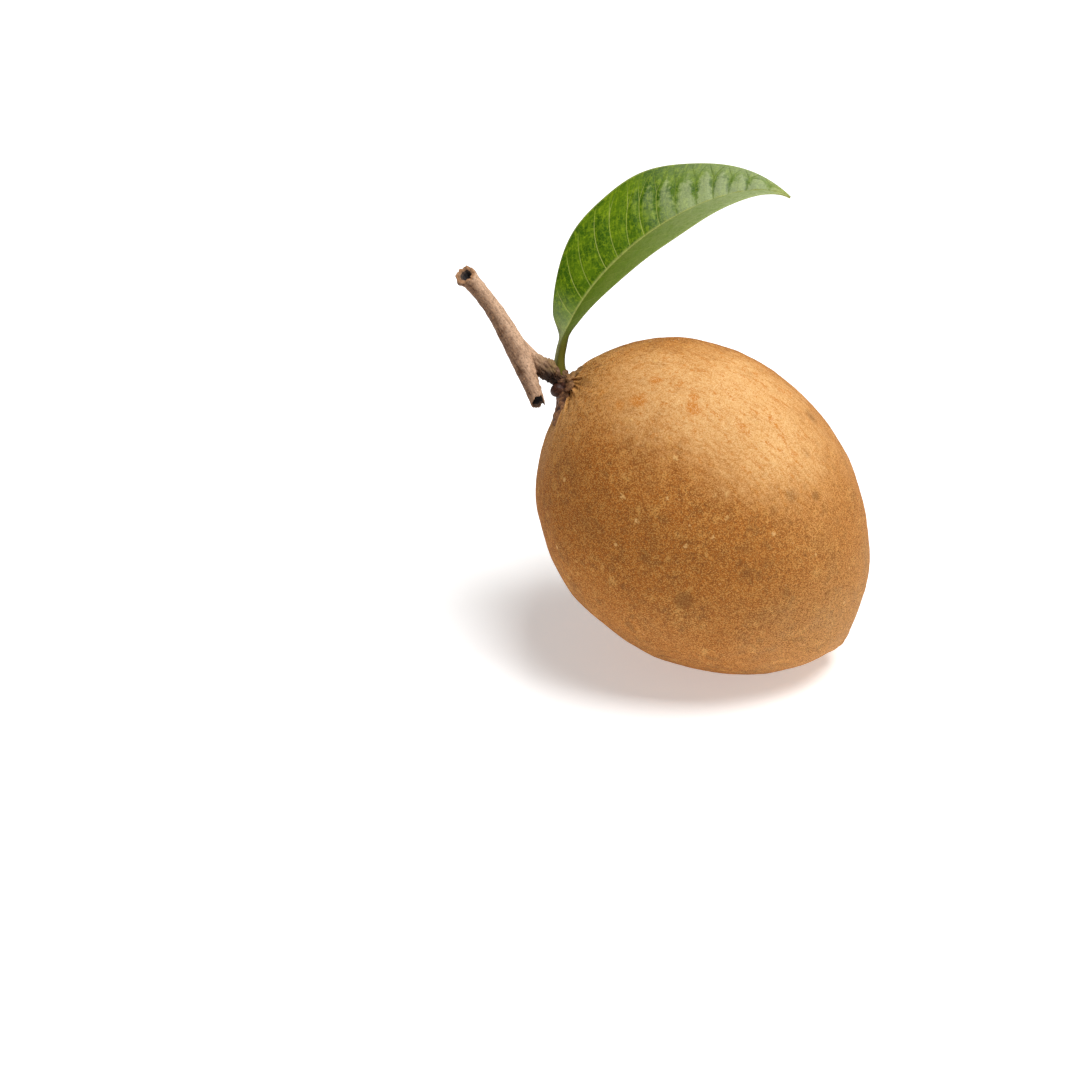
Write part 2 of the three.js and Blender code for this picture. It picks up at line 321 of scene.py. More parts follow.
def closed_skin(rings):
    """Points and faces of a closed skin over rings that turn anticlockwise about the way they run."""
    ends = np.stack([rings[0].mean(axis=0), rings[-1].mean(axis=0)])
    return np.concatenate([rings.reshape(-1, 3), ends]), skin_faces(*rings.shape[:2])


def new_mesh(name, points, faces):
    """A mesh in metres from points in millimetres."""
    mesh = bpy.data.meshes.new(name)
    mesh.from_pydata((points * MM).tolist(), [], faces)
    mesh.update()
    return mesh


def mesh_points(mesh):
    """A mesh's points in millimetres."""
    flat = np.empty(len(mesh.vertices) * 3)
    mesh.vertices.foreach_get("co", flat)
    return flat.reshape(-1, 3) / MM


def mesh_normals(mesh):
    """A mesh's point normals."""
    flat = np.empty(len(mesh.vertices) * 3)
    mesh.vertex_normals.foreach_get("vector", flat)
    return flat.reshape(-1, 3)


def move_points(mesh, points):
    """Moves a mesh's points to places in millimetres."""
    mesh.vertices.foreach_set("co", (points * MM).ravel())
    mesh.update()


def push_points(mesh, heights):
    """Moves a mesh's points along their normals by heights in millimetres."""
    move_points(mesh, mesh_points(mesh) + mesh_normals(mesh) * heights[:, None])


def fuse(name, bodies):
    """One mesh of overlapping closed skins, each given as rings, with even faces."""
    points = []
    faces = []
    for rings in bodies:
        body_points, body_faces = closed_skin(rings)
        first = sum(len(part) for part in points)
        points.append(body_points)
        faces.extend([[corner + first for corner in face] for face in body_faces])
    rough = bpy.data.objects.new(name, new_mesh(name, np.concatenate(points), faces))
    bpy.context.scene.collection.objects.link(rough)
    remesh = rough.modifiers.new("even", "REMESH")
    remesh.mode = "VOXEL"
    remesh.voxel_size = FUSED_GRAIN * MM
    relax = rough.modifiers.new("relax", "SMOOTH")
    relax.factor = 0.5
    relax.iterations = 4
    seen = rough.evaluated_get(bpy.context.evaluated_depsgraph_get())
    mesh = bpy.data.meshes.new_from_object(seen)
    old = rough.data
    bpy.data.objects.remove(rough)
    bpy.data.meshes.remove(old)
    mesh.name = name
    return mesh


def mark(mesh, name, values):
    """Keeps a number for each point of a mesh, for its finish to read."""
    kept = mesh.attributes.new(name, "FLOAT", "POINT")
    kept.data.foreach_set("value", np.asarray(values, float).ravel())


def add_piece(mesh, name, node, finish):
    """Puts a mesh in the scene as the piece that stands for a node of the part."""
    if not mesh.polygons:
        raise RuntimeError(f"{name} has no faces")
    mesh.shade_smooth()
    mesh.materials.clear()
    mesh.materials.append(finish)
    piece = bpy.data.objects.new(name, mesh)
    bpy.context.scene.collection.objects.link(piece)
    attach(piece, "root")
    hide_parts(node)


class Field:
    """A socket whose value varies over a surface. Sums on it add Math nodes."""

    def __init__(self, finish, socket):
        self.finish = finish
        self.socket = socket

    def math(self, operation, *values):
        """A Math node on values, which can be fields or numbers."""
        return self.finish.node("ShaderNodeMath", {"operation": operation}, dict(enumerate(values)))

    def __add__(self, other):
        return self.math("ADD", self, other)

    def __sub__(self, other):
        return self.math("SUBTRACT", self, other)

    def __rsub__(self, other):
        return self.math("SUBTRACT", other, self)

    def __mul__(self, other):
        return self.math("MULTIPLY", self, other)

    def __mod__(self, other):
        return self.math("FLOORED_MODULO", self, other)

    def __abs__(self):
        return self.math("ABSOLUTE", self)

    __radd__ = __add__
    __rmul__ = __mul__

    def larger(self, other):
        """The larger of two values."""
        return self.math("MAXIMUM", self, other)

    def also(self, output):
        """Another output of the same node."""
        return Field(self.finish, self.socket.node.outputs[output])

    def step(self, low, high):
        """0 at low, 1 at high, with a smooth step between them."""
        return self.finish.node("ShaderNodeMapRange", {"interpolation_type": "SMOOTHSTEP"}, {
            "Value": self, "From Min": low, "From Max": high})


class Finish:
    """A material of one Principled shader, and the nodes that vary it over the surface."""

    def __init__(self, name, constants):
        self.material = bpy.data.materials.new(name)
        self.material.use_nodes = True
        self.tree = self.material.node_tree
        self.shader = self.tree.nodes["Principled BSDF"]
        for socket, value in constants.items():
            self.shader.inputs[socket].default_value = value

    def node(self, kind, settings, inputs, output=0):
        """A node of any kind: its settings first, then its sockets' values or links."""
        made = self.tree.nodes.new(kind)
        for setting, value in settings.items():
            setattr(made, setting, value)
        for socket, value in inputs.items():
            if isinstance(value, Field):
                self.tree.links.new(value.socket, made.inputs[socket])
            else:
                made.inputs[socket].default_value = value
        return Field(self, made.outputs[output])

    def vector(self, operation, *values, output=0):
        """A Vector Math node on vectors or colours."""
        return self.node("ShaderNodeVectorMath", {"operation": operation}, dict(enumerate(values)), output)

    def scaled(self, vector, factor):
        """A vector or colour multiplied by a factor."""
        return self.node("ShaderNodeVectorMath", {"operation": "SCALE"}, {0: vector, "Scale": factor})

    def places(self):
        """Places in the part's frame, in millimetres."""
        return self.scaled(self.node("ShaderNodeTexCoord", {}, {}, "Object"), 1 / MM)

    def drawn_out(self, places, way, share):
        """Places pressed together by a share along a way, so that what is made from them is drawn out."""
        depth = self.vector("DOT_PRODUCT", places, way, output="Value")
        return self.vector("SUBTRACT", places, self.scaled(way, depth * share))

    def joined(self, x, y, z):
        """A vector from three values."""
        return self.node("ShaderNodeCombineXYZ", {}, {"X": x, "Y": y, "Z": z})

    def marked(self, name):
        """A number that the mesh keeps for each point."""
        return self.node("ShaderNodeAttribute", {"attribute_name": name}, {}, "Fac")

    def cloud(self, places, size, detail, roughness, warp=0.0):
        """Soft random patches of a size in millimetres, about 0.5 on average."""
        return self.node("ShaderNodeTexNoise", {"noise_dimensions": "3D"}, {
            "Vector": places, "Scale": 1 / size, "Detail": detail, "Roughness": roughness,
            "Distortion": warp})

    def wobble(self, places, scale):
        """A random vector that changes softly from place to place, about 0.5 along each axis."""
        return self.node("ShaderNodeTexNoise", {}, {"Vector": places, "Scale": scale}, "Color")

    def cells(self, places, spacing):
        """Distance to the nearest of random points a spacing apart, and a random colour for each point."""
        return self.node("ShaderNodeTexVoronoi", {"feature": "F1", "voronoi_dimensions": "3D"}, {
            "Vector": places, "Scale": 1 / spacing})

    def chances(self, cells):
        """Random numbers for each cell."""
        return self.node("ShaderNodeSeparateColor", {}, {"Color": cells.also("Color")})

    def grains(self, places, spacing):
        """A random number for each of many small grains."""
        return self.chances(self.cells(places, spacing))

    def dots(self, places, spacing, smallest, largest, share):
        """Round dots of random radii in a share of the cells that are a spacing apart."""
        distance = self.cells(places, spacing)
        chance = self.chances(distance)
        radius = (chance * (largest - smallest) + smallest) * (1 / spacing)
        kept = chance.math("LESS_THAN", chance.also("Green"), share)
        return distance.step(radius, radius * 0.45) * kept

    def dot_at(self, places, centre, radius):
        """One round dot about a centre."""
        apart = self.vector("DISTANCE", places, centre, output="Value")
        return 1 - apart.step(radius * 0.4, radius)

    def blend(self, share, first, second):
        """A colour from first to second by a share."""
        return self.node("ShaderNodeMix", {"data_type": "RGBA", "clamp_factor": True}, {
            "Factor": share, 6: rgba(first), 7: rgba(second)}, 2)

    def layers(self, ground, *coats):
        """A ground colour with coats of other colours over it, each as a share and a colour."""
        for share, colour in coats:
            ground = self.blend(share, ground, colour)
        return ground

    def feed(self, socket, value):
        """Links what varies over the surface to one of the shader's sockets."""
        self.tree.links.new(value.socket, self.shader.inputs[socket])

    def feed_relief(self, height, depth, strength):
        """Fine relief too small for the mesh, of a depth in millimetres."""
        self.feed("Normal", self.node("ShaderNodeBump", {}, {
            "Height": height, "Distance": depth * MM, "Strength": strength}))


def rgba(colour):
    """A colour with four numbers for a colour socket, or a field as it is."""
    return colour if isinstance(colour, Field) else (*colour, 1)


def colour_property(name, description, default):
    """A colour that a user can change."""
    return bpy.props.FloatVectorProperty(
        name=name, description=description, default=default, subtype="COLOR", size=3, min=0, max=1)


def length_property(name, description, default, smallest, largest):
    """A length that a user can change, given here in millimetres."""
    return bpy.props.FloatProperty(
        name=name, description=description, default=default * MM, min=smallest * MM, max=largest * MM,
        unit="LENGTH", precision=5)


def strength_property(name, description, default, largest, unit="NONE"):
    """A light's strength that a user can change."""
    return bpy.props.FloatProperty(
        name=name, description=description, default=default, min=0, max=largest, unit=unit)


class SapodillaFruit(bpy.types.PropertyGroup):
    """Sizes and colours of the fruit."""

    relief: length_property("Skin relief", "Height of the skin's broad dents", 0.12, 0, 1)
    wrinkle: length_property("Stem wrinkles", "Height of the folds that run out from the calyx", 0.18, 0, 1)
    # Tan is the skin's own pale colour, and it also carries the skin's painted highlight
    tan: colour_property("Tan", "Skin where it is palest", (0.77, 0.435, 0.165))
    brown: colour_property("Brown", "Skin over most of the fruit", (0.435, 0.136, 0.021))
    orange: colour_property("Orange", "Rubbed patches of the skin", (0.58, 0.19, 0.022))
    olive: colour_property("Olive", "Skin round the calyx", (0.26, 0.14, 0.045))
    speck: colour_property("Specks", "Small dark spots", (0.20, 0.075, 0.02))
    pore: colour_property("Pores", "Small pale corky dots", (0.72, 0.38, 0.105))
    cream: colour_property("Cream", "Palest grains where the skin is tan", (0.91, 0.62, 0.32))


class SapodillaCalyx(bpy.types.PropertyGroup):
    """Sizes and colours of the calyx."""

    knobs: length_property("Knobs", "Height of the lumps on the dry sepals", 0.16, 0, 1)
    # The dark colour also stands for painted shade in the hollows, and the paler colour below is a painted
    # highlight on the lumps and random patches
    dark: colour_property("Dark", "Dry sepals in their hollows", (0.045, 0.013, 0.007))
    olive: colour_property("Olive", "Sepals on the high side, by the leaf", (0.42, 0.225, 0.08))
    shading_and_patches: colour_property("Worn", "Dry sepals on their ridges", (0.24, 0.112, 0.05))


class SapodillaTwig(bpy.types.PropertyGroup):
    """Sizes and colours of the twig."""

    bark_relief: length_property("Bark relief", "Height of the bark's ridges", 0.045, 0, 1)
    bark: colour_property("Bark", "Grey-brown bark", (0.68, 0.44, 0.285))
    # Dark bark also stands for painted shade in the hollows and on the lower left side
    bark_dark_and_shade: colour_property("Dark bark", "Bark in its hollows and by the node", (0.11, 0.047, 0.021))
    frayed: colour_property("Frayed bark", "Fibres on top of the stalk's end", (0.33, 0.21, 0.09))
    wood: colour_property("Wood", "Broken wood at the rim of the ends", (0.45, 0.23, 0.11))
    pith: colour_property("Pith", "Hollow pith in the broken ends", (0.018, 0.014, 0.014))


class SapodillaLeaf(bpy.types.PropertyGroup):
    """Sizes and colours of the leaf."""

    thickness: length_property("Blade thickness", "Thickness of the blade between its veins", 0.36, 0.1, 2)
    vein_spacing: length_property(
        "Vein spacing", "Distance between side veins along the midrib", 3.5, 1, 10)
    green: colour_property("Green", "Upper side of the blade", (0.095, 0.175, 0.004))
    deep: colour_property("Deep green", "Darker patches of the blade", (0.040, 0.10, 0.003))
    fresh: colour_property("Fresh green", "Lighter patches along the veins", (0.24, 0.34, 0.010))
    vein: colour_property("Veins", "Midrib and side veins", (0.42, 0.45, 0.12))
    # Bloom is a painted sheen at the base, towards the tip, on the plain half and on one side of the leaf
    # stalk
    painted_sheen: colour_property("Bloom", "Grey-green cast at the base and towards the tip", (0.41, 0.465, 0.245))
    # The plain half's colour is lighter and greyer than the green, as a painted sheen where that half is
    # seen at a slant
    near: colour_property("Plain half", "Half of the blade that folds up", (0.165, 0.225, 0.022))
    stalk: colour_property("Leaf stalk", "Stalk of the leaf", (0.11, 0.10, 0.012))
    under: colour_property("Underside", "Lower side of the blade", (0.20, 0.27, 0.10))


class SapodillaStage(bpy.types.PropertyGroup):
    """Light and floor of the studio."""

    floor: colour_property("Floor", "Pale studio floor", (0.93, 0.93, 0.93))
    glow: strength_property("Floor light", "Strength of the light that the floor itself gives", 0.4, 5)
    key_power: strength_property("Main light", "Power of the large soft light overhead", 74.0, 500, "POWER")
    sky: strength_property("Room light", "Strength of the even light all round", 0.13, 5)


def shoulder_drop(radius, angle, along):
    """How far the stem end's shoulder lies below an even round."""
    low_side = 0.5 * (1 - np.cos(angle - SHOULDER_HIGH_SIDE))
    near = np.maximum(0, along) ** 0.7 * (1 - hump(radius, 0, SHOULDER_START))
    return SHOULDER_DROP * low_side * near


def fruit_surface(along, angle):
    """Places on the fruit's smooth skin, from 1 at the stem to -1 at the tip and round by an angle."""
    tip_side = along < 0
    half = np.where(tip_side, TIP_HALF, STEM_HALF)
    bluntness = np.where(tip_side, TIP_BLUNTNESS, STEM_BLUNTNESS)
    radius = FRUIT_RADIUS * np.maximum(1 - along * along, 0) ** bluntness
    height = along * half
    waist = 1 - np.minimum(1, np.abs(height) / STEM_HALF) ** 2
    oval = OVAL * np.sin(2 * angle + OVAL_TURN)
    swell = 1 + waist * (oval + THREE_CORNERED * np.cos(3 * angle + CORNERS_TURN))
    scar = np.where(tip_side, TIP_SCAR_HEIGHT * hump(radius, 0, TIP_SCAR_RADIUS), 0)
    height = height - shoulder_drop(radius, angle, height / STEM_HALF) - scar
    inside = np.stack([radius * swell * np.sin(angle), height, radius * swell * np.cos(angle)], axis=-1)
    return FRUIT_CENTRE + inside @ FRUIT_AXES, radius


def stem_folds(radius, angle, points):
    """Folds that run out from the calyx and fade down the shoulder."""
    spin = np.stack([np.cos(angle), np.sin(angle), 0 * angle], axis=-1)
    broad = 0.7 * ripple(spin + 0.012 * points, 0.6, 11) + 0.5 * ripple(spin + 0.02 * points, 0.3, 12)
    fine = 0.6 * ripple(spin + 0.03 * points, 0.17, 13)
    reach = hump(radius, FOLD_RADIUS, 4.0) + 0.35 * hump(radius, 2 * FOLD_RADIUS, 6)
    return reach * broad + hump(radius, FOLD_RADIUS, 3.5) * fine


def lie_flat(points):
    """Flattens the skin softly where it lies on the floor."""
    height = points[:, 2]
    eased = np.maximum(height + REST_EDGE, 0) ** 2 / (4 * REST_EDGE)
    return np.column_stack([points[:, :2], np.where(height > REST_EDGE, height, eased)])


def spread_marks(points, marks):
    """Strength of round marks at each point."""
    strength = np.zeros(len(points))
    for *place, radius, power in marks:
        strength = np.maximum(strength, power * hump(np.linalg.norm(points - place, axis=1), 0, radius))
    return strength


def build_fruit(settings):
    """The fruit's mesh, with its relief and the marks that its finish reads."""
    turn = np.linspace(math.pi - POLE_GAP, POLE_GAP, FRUIT_STEPS)
    along, angle = np.meshgrid(np.cos(turn), -round_angles(FRUIT_SIDES), indexing="ij")
    rings, radius = fruit_surface(along, angle)
    points, faces = closed_skin(rings)
    mesh = new_mesh("sapodilla_fruit", points, [face[::-1] for face in faces])
    along = np.append(along.ravel(), [-1, 1])
    angle = np.append(angle.ravel(), [0, 0])
    radius = np.append(radius.ravel(), [0, 0])
    stem_side = along > 0
    folds = np.where(stem_side, stem_folds(radius, angle, points), 0)
    dents = sum(power * ripple(points, length, seed) for seed, (length, power) in enumerate(SKIN_DENTS, 1))
    calm = 1 - 0.6 * np.where(stem_side, hump(radius, 0, 5), hump(radius, 0, 4))
    rim = hump(radius, SCAR_RIM_RADIUS, 0.7) - 0.8 * hump(radius, SCAR_DIP_RADIUS, 0.6)
    scar = SCAR_RIM_HEIGHT * np.where(stem_side, 0, rim)
    push_points(mesh, (settings.relief * dents * calm + settings.wrinkle * folds) / MM + scar)
    move_points(mesh, lie_flat(mesh_points(mesh)))
    mark(mesh, "from_stem", np.where(stem_side, radius, FAR_OFF))
    mark(mesh, "from_tip", np.where(stem_side, FAR_OFF, radius))
    mark(mesh, "fold", folds)
    out = (points - FRUIT_CENTRE) / FRUIT_RADIUS
    # Paleness of the skin, partly its own tone and partly a painted highlight, less the painted shade at
    # the back
    mark(mesh, "tone_and_painted_light", out @ PALE_AND_HIGHLIGHT_WAY - PAINTED_BACK_SHADE * np.maximum(0, out[:, 1]))
    mark(mesh, "brown_mark", spread_marks(points, BROWN_MARKS))
    mark(mesh, "orange_mark", spread_marks(points, ORANGE_MARKS))
    return mesh


def skin_pores(skin, places):
    """Corky pores: many small ones, some larger, and the clearest where they stand."""
    pores = skin.dots(places, 2.4, 0.2, 0.34, 0.3) * 0.5
    pores = pores.larger(skin.dots(places, 5.5, 0.35, 0.6, 0.5))
    shift = skin.vector("SUBTRACT", skin.wobble(places, 1.6), (0.5, 0.5, 0.5))
    ragged = skin.vector("ADD", places, skin.scaled(shift, PALE_DOT_RAGGED))
    for centre in PALE_DOTS:
        pores = pores.larger(skin.dot_at(ragged, centre, PALE_DOT_RADIUS))
    return pores


def side_coats(skin, settings, places, away_from_highlight, cloudy, streak):
    """Coats that make the skin paler on its right side, which is painted light, and paler towards the
    bottom.
    """
    sideways = skin.node("ShaderNodeSeparateXYZ", {}, {"Vector": places})
    height = sideways.also("Z")
    # Painted light on the right side of the skin
    right_side_painted_light = sideways.step(-6.0, 20.0)
    return (
        ((1 - height.step(3.0, 11.0)) * streak.step(0.48, 0.62) * 0.4, settings.pore),
        (right_side_painted_light * away_from_highlight * 0.18, settings.tan),
        ((1 - height.step(12.0, 34.0)) * cloudy * (right_side_painted_light * 0.26 + 0.16), settings.cream),
    )


def end_coats(skin, settings, patch, streak, ridge):
    """Coats of the skin's streaked and olive stem end, with painted shade in its folds and a painted
    highlight on their ridges, and of the ring at its tip.
    """
    near_stem = skin.marked("from_stem")
    stem_end = 1 - near_stem.step(6.0, 21.0)
    # Painted shade in the troughs of the folds near the stem
    painted_crease_shade = (1 - skin.marked("fold").step(-0.9, 0.0)) * (1 - near_stem.step(6.0, 12.0))
    return (
        (stem_end * streak.step(0.38, 0.55) * 0.85, settings.tan),
        (stem_end * (1 - streak.step(0.32, 0.43)) * 0.45, settings.speck),
        (stem_end * 0.22, settings.orange),
        ((1 - near_stem.step(3.0, 14.0)) * (patch * 1.2 + 0.1) * 0.3, settings.olive),
        (painted_crease_shade * 0.7, settings.speck),
        # Painted highlight on the ridges of the folds
        (ridge * 0.55, settings.tan),
        ((1 - skin.marked("from_tip").step(1.4, 3.6)) * 0.45, settings.olive),
    )


def fruit_finish(settings):
    """Scurfy brown skin: soft patches, sandy grain, pale pores, brown marks and an olive stem end, with a
    paler top that is partly a painted highlight.
    """
    skin = Finish("sapodilla_skin", {"IOR": 1.45, "Specular IOR Level": 0.06})
    places = skin.places()
    cloudy = skin.cloud(places, 7.0, 4, 0.6)
    patch = skin.cloud(places, 2.0, 4, 0.65, 0.4)
    mottle = skin.cloud(places, 0.9, 3, 0.65)
    streak = skin.cloud(skin.drawn_out(places, STEM_AXIS, 0.8), 0.75, 4, 0.7)
    freckle = skin.cloud(skin.drawn_out(places, STEM_AXIS, 0.45), 1.1, 3, 0.6)
    grain = skin.cloud(places, 0.13, 2, 0.7)
    sand = skin.grains(places, 0.15) * 0.55 + grain * 0.45
    # The pale zone is partly the skin's own tan and partly a painted highlight, and the dull skin lies away
    # from it
    tone_and_painted_light = skin.marked("tone_and_painted_light") * 0.85 + skin.cloud(places, 15, 3, 0.55) * 0.55 + streak * 0.35
    pale = (tone_and_painted_light - 0.585).step(0.33, 0.80)
    away_from_highlight = 1 - pale
    cluster = away_from_highlight * (skin.cloud(places, 4.5, 2, 0.5).step(0.42, 0.6) * 0.55 + 0.12)
    rubbed = freckle.step(0.57, 0.64) * pale * 0.9
    rubbed = rubbed.larger((skin.marked("orange_mark") + patch - 0.5).step(0.25, 0.7))
    smudge = (skin.marked("brown_mark") + patch * 0.6 + mottle * 0.5 - 0.55).step(0.15, 0.75)
    # Ridges of the folds near the stem, which get a painted highlight
    ridge = skin.marked("fold").step(0.3, 1.1) * (1 - skin.marked("from_stem").step(7.0, 13.0))
    # Grains turn paler with the painted highlight and with the painted light on the fold ridges
    light = pale.larger(ridge * 0.8)
    pit = skin.blend(light, settings.speck, settings.orange)
    crumb = skin.blend(light * light, settings.pore, settings.cream)
    pores = skin_pores(skin, places)
    corky = skin.blend(patch * 0.5, settings.pore, settings.cream)
    skin.feed("Base Color", skin.layers(
        settings.brown,
        (pale, settings.tan),
        (cloudy.step(0.5, 0.68) * (away_from_highlight * 0.3 + 0.05), settings.speck),
        ((1 - streak.step(0.38, 0.5)) * (pale * 0.24 + 0.1), settings.orange),
        ((1 - mottle.step(0.34, 0.5)) * (away_from_highlight * 0.14 + 0.05), settings.speck),
        ((1 - patch.step(0.36, 0.52)) * cluster, settings.speck),
        (patch.step(0.52, 0.68) * cluster, settings.pore),
        (rubbed * 0.8, settings.orange),
        (smudge * 0.6, settings.speck),
        *side_coats(skin, settings, places, away_from_highlight, cloudy, streak),
        *end_coats(skin, settings, patch, streak, ridge),
        ((1 - sand.step(0.24, 0.50)) * (away_from_highlight * 0.42 + 0.44), pit),
        (sand.step(0.50, 0.76) * 0.62, crumb),
        (smudge * 0.35, settings.speck),
        (pores * 0.8, corky),
    ))
    skin.feed("Roughness", 0.85 - grain * 0.2)
    skin.feed_relief(sand * 0.7 + streak * 0.5 + pores * 0.9 - smudge * 0.3, 0.16, 0.6)
    return skin.material


def sepal_rings(heading, length, half_width, half_thick):
    """One dry sepal that lies outwards over the fruit's shoulder."""
    share = np.linspace(0, 1, SEPAL_STEPS)[:, None]
    angle = round_angles(SEPAL_SIDES)
    reach = SEPAL_START + length * share
    from_pole = np.abs(reach - CALYX_LOW_SHIFT * math.cos(heading - SHOULDER_HIGH_SIDE))
    along = np.sqrt(1 - (from_pole / FRUIT_RADIUS) ** (1 / STEM_BLUNTNESS))
    ground = STEM_HALF * (along - 1) - shoulder_drop(from_pole, heading, along)
    neck = NECK_RISE * np.exp(-length * share / NECK_REACH)
    rise = ground + SEPAL_LIFT - 0.12 * share + neck
    across = half_width * (1 - 0.8 * share**2.6) * (1 + 0.08 * np.sin(9 * share + heading)) * np.cos(angle)
    droop = -0.10 * across**2
    ridge = 0.16 * np.cos(across * 3.1 + heading) * (np.sin(angle) > 0)
    upward = rise + half_thick * (1.15 - 0.65 * share) * np.sin(angle) + droop + ridge * (1 - share)
    forward = reach + 0.25 * np.sin(2.2 * across + heading) * share + 0 * angle
    inside = np.stack([
        across * math.cos(heading) + forward * math.sin(heading),
        upward,
        forward * math.cos(heading) - across * math.sin(heading),
    ], axis=-1)
    return CALYX_CENTRE + inside @ FRUIT_AXES


def cup_rings():
    """The knobbly cup that the stalk stands in."""
    fine = np.linspace(0, len(CUP_OUTLINE) - 1, CUP_STEPS)
    corners = np.arange(len(CUP_OUTLINE))
    radius, height = (np.interp(fine, corners, column)[:, None] for column in CUP_OUTLINE.T)
    angle = round_angles(CUP_SIDES)
    lobes = 1 + 0.09 * np.cos(6 * angle + 0.8) + 0.06 * np.cos(3 * angle + 2.1)
    radius = radius * (CUP_RADIUS / CUP_OUTLINE[:, 0].max()) * np.where(radius > 1.0, lobes, 1)
    height = height + 0.22 * np.cos(5 * angle + 0.4) * (height > 0.8)
    inside = np.stack([radius * np.sin(angle), height, radius * np.cos(angle)], axis=-1)
    return CALYX_CENTRE + inside @ FRUIT_AXES


def knob_rings():
    """A smooth dark knob on the low side of the cup, where an old bract has shrivelled."""
    turn, angle = np.meshgrid(
        np.linspace(0.15, math.pi - 0.15, KNOB_STEPS), round_angles(KNOB_SIDES), indexing="ij")
    ball = np.stack([np.sin(turn) * np.sin(angle), np.cos(turn), np.sin(turn) * np.cos(angle)], axis=-1)
    return KNOB_CENTRE + ball * KNOB_RADII @ FRUIT_AXES


def build_calyx(settings):
    """The calyx's mesh: cup, knob and sepals grown together, with dry lumps and wrinkles."""
    sepals = [sepal_rings(math.radians(heading), *sizes) for heading, *sizes in SEPALS]
    mesh = fuse("sapodilla_calyx", [cup_rings(), knob_rings(), *sepals])
    points = mesh_points(mesh)
    out = points - CALYX_CENTRE
    smooth = ease(np.linalg.norm(points - KNOB_CENTRE, axis=1), 1.75, 1.4)
    lumps = ripple(points, 1.7, 21) + 0.6 * ripple(points, 0.85, 22)
    creases = ripple(unit(out + 1e-6) + 0.05 * points, 0.34, 23)
    push_points(mesh, settings.knobs / MM * (0.55 * lumps + 0.4 * creases) * (1 - 0.8 * smooth))
    # Height of the lumps and creases, which the finish turns into painted highlight and shade
    mark(mesh, "relief_shading", 0.7 * lumps + 0.5 * creases)
    mark(mesh, "knob", smooth)
    mark(mesh, "outer", ease(np.linalg.norm(np.cross(out, STEM_AXIS), axis=1), 1.9, 3.2))
    mark(mesh, "high_side", ease(out @ HIGH_SIDE_WAY, -0.5, 3.0))
    return mesh


def calyx_finish(settings):
    """Dry dark-brown sepals, paler on their lumps as a painted highlight, in patches and on the high side.
    """
    husk = Finish("dry_calyx", {"IOR": 1.45, "Specular IOR Level": 0.28})
    places = husk.places()
    grain = husk.cloud(places, 0.3, 3, 0.7)
    patch = husk.cloud(places, 1.3, 3, 0.6)
    knob = husk.marked("knob")
    # Paler on raised lumps as a painted highlight, darker in hollows as painted shade, and paler in random
    # patches
    shading_and_patches = husk.marked("relief_shading") * 0.45 + patch * 1.1 + husk.marked("outer") * 0.5 - 0.4
    colour = husk.layers(
        settings.dark,
        (shading_and_patches.step(-0.3, 1.0) * (1 - knob * 0.9), settings.shading_and_patches),
        (husk.marked("high_side") * (patch * 1.2 + 0.1), settings.olive),
    )
    husk.feed("Base Color", husk.scaled(colour, grain.step(0.3, 0.7) * 0.9 + 0.5))
    husk.feed("Roughness", 0.55 + grain * 0.3 - knob * 0.2)
    husk.feed_relief(grain + patch * 0.6, 0.12, 0.6)
    return husk.material


def rod_rings(path, radius_at, steps, sides, bumps):
    """Rings of a round rod with bumps along a path, and the path's points and tangents."""
    share = np.linspace(0, 1, steps)
    centre, tangent, _ = bezier(path, share)
    side, up = across_axes(tangent, UP)
    angle = round_angles(sides)
    radius = radius_at(share)[:, None] + 0 * angle
    for at, toward, height, long, broad in bumps:
        radius = radius + height * hump(share[:, None], at, long) * hump(apart_by(angle, toward), 0, broad)
    rings = (centre[:, None] + (radius * np.cos(angle))[..., None] * side[:, None]
             + (radius * np.sin(angle))[..., None] * up[:, None])
    return rings, centre, tangent


def broken_end(ring, centre, outward, table, jag):
    """Rings from a rod's last ring inwards into its pith, by a table of the broken end."""
    rings = [centre + (ring - centre) * share + outward * (jag * share - depth)[:, None]
             for share, depth in table[:, :2]]
    return np.stack(rings)


def nearest_values(points, known, values):
    """For each point, the values of the nearest known point."""
    tree = kdtree.KDTree(len(known))
    for index, place in enumerate(known):
        tree.insert(place, index)
    tree.balance()
    return values[[tree.find(place)[1] for place in points]]


def branch_radius(share):
    """Radius along the branch, from its broken top to its torn end."""
    taper = BRANCH_RADIUS + (BRANCH_TORN_RADIUS - BRANCH_RADIUS) * share**5
    return taper + BRANCH_END_FLARE * hump(share, 0, 0.07) + BRANCH_FORK_SWELL * hump(share, FORK_AT, 0.26)


def stalk_radius(share):
    """Radius along the fruit's stalk, from the fork to the calyx."""
    node = hump(share, NODE_AT, 0.16)
    return (STALK_RADIUS + STALK_SPREAD * (1 - share)) * (1 - node) + NODE_RADIUS * node


def top_jag(angle):
    """Ragged rim of the branch's broken top, which slopes down to the front."""
    ragged = 0.14 * np.sin(3 * angle + 0.5) + 0.13 * np.sin(7 * angle + 1.3) + 0.08 * np.sin(13 * angle)
    return ragged - TOP_SLOPE * np.cos(angle - TOP_SLOPE_TURN)


def torn_jag(angle):
    """Torn rim of the short end, with one long sliver and a deep notch beside it."""
    apart = apart_by(angle, 0)
    sliver = 1.1 * hump(apart, 0.1, 0.3) - 0.4 * hump(apart, 0.9, 0.3)
    return sliver - 0.8 * np.sin(angle) + 0.12 * np.sin(5 * angle + 1)


